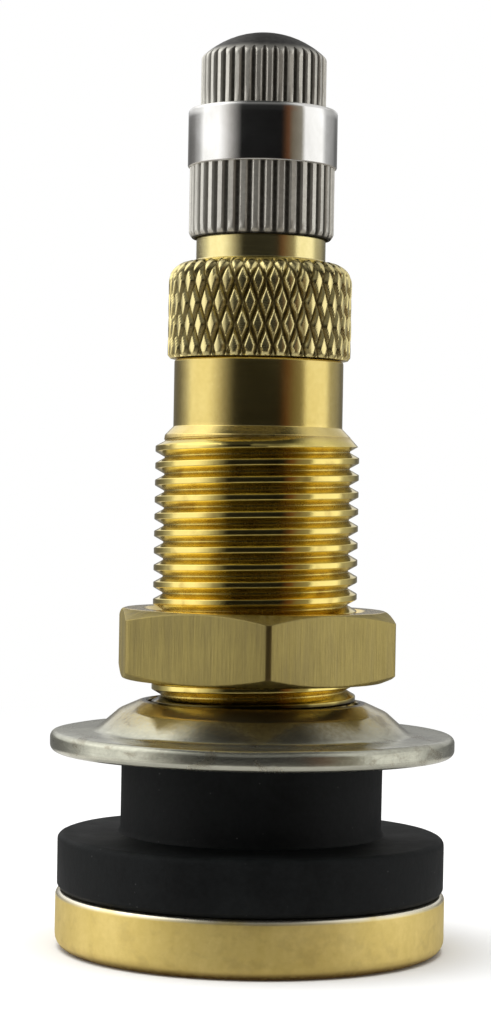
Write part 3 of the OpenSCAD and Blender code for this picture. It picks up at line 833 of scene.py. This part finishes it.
# Coil spring around the pin
turns, wire, per, sides = 9, 0.13, 40, 10
lo, hi = 35.34 + wire, 42.34 - wire
steps = np.arange(turns * per + 1)
u = steps / (turns * per)
grow = np.clip((u * turns - 1.0) / (turns - 2.0), 0, 1)
zc = lo + (hi - lo) * (0.035 * np.clip(u * turns, 0, 1) + 0.93 * grow + 0.035 * np.clip(u * turns - (turns - 1.0), 0, 1))
ang = u * turns * TAU
slope = np.gradient(zc, ang * 0.95)
ring_a = even(sides)
pts, faces = [], []
for i in range(len(steps)):
    c, sn = math.cos(ang[i]), math.sin(ang[i])
    radial = np.array([c, sn, 0.0])
    tangent = np.array([-sn, c, slope[i]])
    tangent /= np.linalg.norm(tangent)
    side = np.cross(tangent, radial)
    for b in ring_a:
        pts.append(np.array([0.95 * c, 0.95 * sn, zc[i]]) + wire * (math.cos(b) * radial + math.sin(b) * side))
for i in range(len(steps) - 1):
    for j in range(sides):
        a, b = i * sides + j, i * sides + (j + 1) % sides
        faces.append((a, a + sides, b + sides, b))
faces.append(tuple(range(sides)))
faces.append(tuple(range(len(steps) * sides - 1, len(steps) * sides - 1 - sides, -1)))
s = Solid(ring_a)
s.add(np.array(pts), faces)
spring = s.build("core_spring_coil", "core", "core_spring", STEEL)
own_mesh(spring)


# ------------------------------------------------ floor, light, camera

WHITE = (1.0, 1.0, 0.998)

p = Paint("floor_pale")
tint = p.ramp(p.noise(0.02, (1, 1, 1), 3, 0.5), [(0.3, (0.80, 0.80, 0.795)), (0.7, (0.84, 0.84, 0.835))])
p.finish(tint, 0.9, 0.0)
glow = p.new("ShaderNodeEmission")
glow.inputs["Color"].default_value = (*WHITE, 1.0)
far = p.math("SQRT", p.math("ADD", p.math("MULTIPLY", p.x, p.x), p.math("MULTIPLY", p.y, p.y)))
blend = p.new("ShaderNodeMixShader")
p.tree.links.new(p.span(far, 45.0, 170.0), blend.inputs[0])
p.tree.links.new(p.bsdf.outputs[0], blend.inputs[1])
p.tree.links.new(glow.outputs[0], blend.inputs[2])
ray = p.new("ShaderNodeLightPath")
clear = p.new("ShaderNodeBsdfTransparent")
close = p.new("ShaderNodeMixShader")
p.tree.links.new(p.math("MULTIPLY", ray.outputs["Is Glossy Ray"], p.span(far, 36.0, 60.0, 0.58, 1.0)), close.inputs[0])
p.tree.links.new(blend.outputs[0], close.inputs[1])
p.tree.links.new(clear.outputs[0], close.inputs[2])
p.tree.links.new(close.outputs[0], p.out.inputs["Surface"])
mesh = bpy.data.meshes.new("floor")
w = 1.5
mesh.from_pydata([(-w, -w, 0), (w, -w, 0), (w, w, 0), (-w, w, 0)], [], [(0, 1, 2, 3)])
mesh.materials.append(p.mat)
floor = bpy.data.objects.new("floor", mesh)
bpy.context.scene.collection.objects.link(floor)

lamp = bpy.data.lights.new("overhead", "AREA")
lamp.shape = "DISK"
lamp.size = 0.5
lamp.energy = 3.4
overhead = bpy.data.objects.new("overhead", lamp)
overhead.location = (-0.05, -0.05, 0.5)
bpy.context.scene.collection.objects.link(overhead)
overhead.visible_glossy = False

world = bpy.data.worlds.new("studio")
bpy.context.scene.world = world
world.use_nodes = True
tree = world.node_tree
tree.nodes.clear()


def wn(kind):
    return tree.nodes.new(kind)


coord = wn("ShaderNodeTexCoord")
xyz = wn("ShaderNodeSeparateXYZ")
tree.links.new(coord.outputs["Generated"], xyz.inputs[0])
flip = wn("ShaderNodeMath")
flip.operation = "MULTIPLY"
flip.inputs[1].default_value = -1.0
tree.links.new(xyz.outputs[1], flip.inputs[0])
az = wn("ShaderNodeMath")
az.operation = "ARCTAN2"
tree.links.new(xyz.outputs[0], az.inputs[0])
tree.links.new(flip.outputs[0], az.inputs[1])
unit = wn("ShaderNodeMapRange")
unit.inputs["From Min"].default_value = -math.pi
unit.inputs["From Max"].default_value = math.pi
tree.links.new(az.outputs[0], unit.inputs["Value"])


def ring_of_light(stops):
    """Brightness around the horizon, by the angle from the front in degrees."""
    n = wn("ShaderNodeValToRGB")
    band = n.color_ramp
    while len(band.elements) < len(stops):
        band.elements.new(0.5)
    for e, (deg, colour) in zip(band.elements, stops):
        e.position = deg / 360 + 0.5
        e.color = (*colour, 1.0)
    tree.links.new(unit.outputs[0], n.inputs["Fac"])
    return n.outputs[0]


def grey(v, warm=0.0):
    return (v, v * (1 - warm), v * (1 - 2 * warm))


walls = ring_of_light([
    (-180, grey(0.26)), (-150, grey(0.14, 0.02)), (-132, grey(0.20, 0.02)), (-114, grey(0.55)), (-104, grey(1.22)), (-72, grey(1.28)), (-60, grey(0.85, 0.02)),
    (-48, grey(0.36, 0.03)), (-38, grey(0.11, 0.03)), (-33, grey(0.010)), (29, grey(0.007)), (33, (0.05, 0.024, 0.012)), (40, (0.13, 0.055, 0.025)),
    (46, (0.17, 0.14, 0.10)), (62, (0.30, 0.28, 0.23)), (69, grey(1.18)), (104, grey(1.25)), (114, grey(0.48)), (136, grey(0.32)), (150, grey(0.14)), (180, grey(0.26))])
panels = ring_of_light([
    (-180, grey(0.06)), (-172, grey(0.32)), (-160, grey(0.95)), (-140, grey(1.20)), (-125, grey(1.50)), (-110, grey(1.80)), (-74, grey(1.62)), (-62, grey(1.15)), (-48, grey(0.45)), (-34, grey(0.17)), (34, grey(0.17)), (50, grey(0.40)),
    (66, grey(0.84)), (125, grey(0.78)), (140, grey(0.60)), (158, grey(0.58)), (172, grey(0.25)), (180, grey(0.06))])
rear = ring_of_light([
    (-180, grey(0.85)), (-158, grey(0.95)), (-140, grey(0.80)), (-114, grey(1.00)), (-104, grey(1.30)), (-72, grey(1.28)), (-60, grey(0.85, 0.02)), (-48, grey(0.36, 0.03)),
    (-38, grey(0.11, 0.03)), (-33, grey(0.02)), (29, grey(0.02)), (40, (0.13, 0.055, 0.025)), (62, (0.30, 0.28, 0.23)), (69, grey(1.18)), (104, grey(1.20)), (114, grey(0.60)),
    (140, grey(0.45)), (158, grey(0.70)), (180, grey(0.85))])
table = ring_of_light([
    (-180, grey(0.30, 0.08)), (-165, grey(0.75, 0.06)), (-85, grey(0.75, 0.06)), (-55, grey(0.16, 0.12)), (55, grey(0.16, 0.12)), (85, grey(0.40, 0.08)),
    (165, grey(0.40, 0.08)), (180, grey(0.30, 0.08))])


def toward(value, start, end, colour, share=1.0):
    """Blends the walls into one colour high above or far below the horizon."""
    m = wn("ShaderNodeMapRange")
    m.interpolation_type = "SMOOTHSTEP"
    m.inputs["From Min"].default_value = start
    m.inputs["From Max"].default_value = end
    m.inputs["To Max"].default_value = share
    tree.links.new(xyz.outputs[2], m.inputs["Value"])
    n = wn("ShaderNodeMix")
    n.data_type = "RGBA"
    ins = {q.identifier: q for q in n.inputs}
    tree.links.new(m.outputs[0], ins["Factor_Float"])
    tree.links.new(value, ins["A_Color"])
    if hasattr(colour, "is_output"):
        tree.links.new(colour, ins["B_Color"])
    else:
        ins["B_Color"].default_value = (*colour, 1.0)
    return [q for q in n.outputs if q.identifier == "Result_Color"][0]


shade = toward(walls, 0.13, 0.21, rear)
shade = toward(shade, 0.29, 0.42, panels)
shade = toward(shade, 0.80, 0.95, grey(0.04))
shade = toward(shade, -0.20, -0.34, table, 0.8)
shade = toward(shade, -0.45, -0.70, grey(0.07, 0.15))
studio = wn("ShaderNodeBackground")
tree.links.new(shade, studio.inputs["Color"])
studio.inputs["Strength"].default_value = 1.0
backdrop = wn("ShaderNodeBackground")
backdrop.inputs["Color"].default_value = (*WHITE, 1.0)
path = wn("ShaderNodeLightPath")
choose = wn("ShaderNodeMixShader")
tree.links.new(path.outputs["Is Camera Ray"], choose.inputs[0])
tree.links.new(studio.outputs[0], choose.inputs[1])
tree.links.new(backdrop.outputs[0], choose.inputs[2])
wout = wn("ShaderNodeOutputWorld")
tree.links.new(choose.outputs[0], wout.inputs["Surface"])

cam = bpy.data.cameras.new("camera")
cam.lens = 91.41
cam.sensor_width = 36.0
cam.clip_start = 0.005
cam.clip_end = 20.0
eye = bpy.data.objects.new("camera", cam)
bpy.context.scene.collection.objects.link(eye)
roll, pitch = math.radians(1.0), math.radians(0.353)
eye.matrix_world = (Matrix.Translation((-0.00065, -0.156, 0.02703)) @ Matrix.Rotation(math.pi / 2 - pitch, 4, "X")
                    @ Matrix.Rotation(roll, 4, "Z"))
bpy.context.scene.camera = eye
bpy.context.scene.view_settings.view_transform = "Standard"
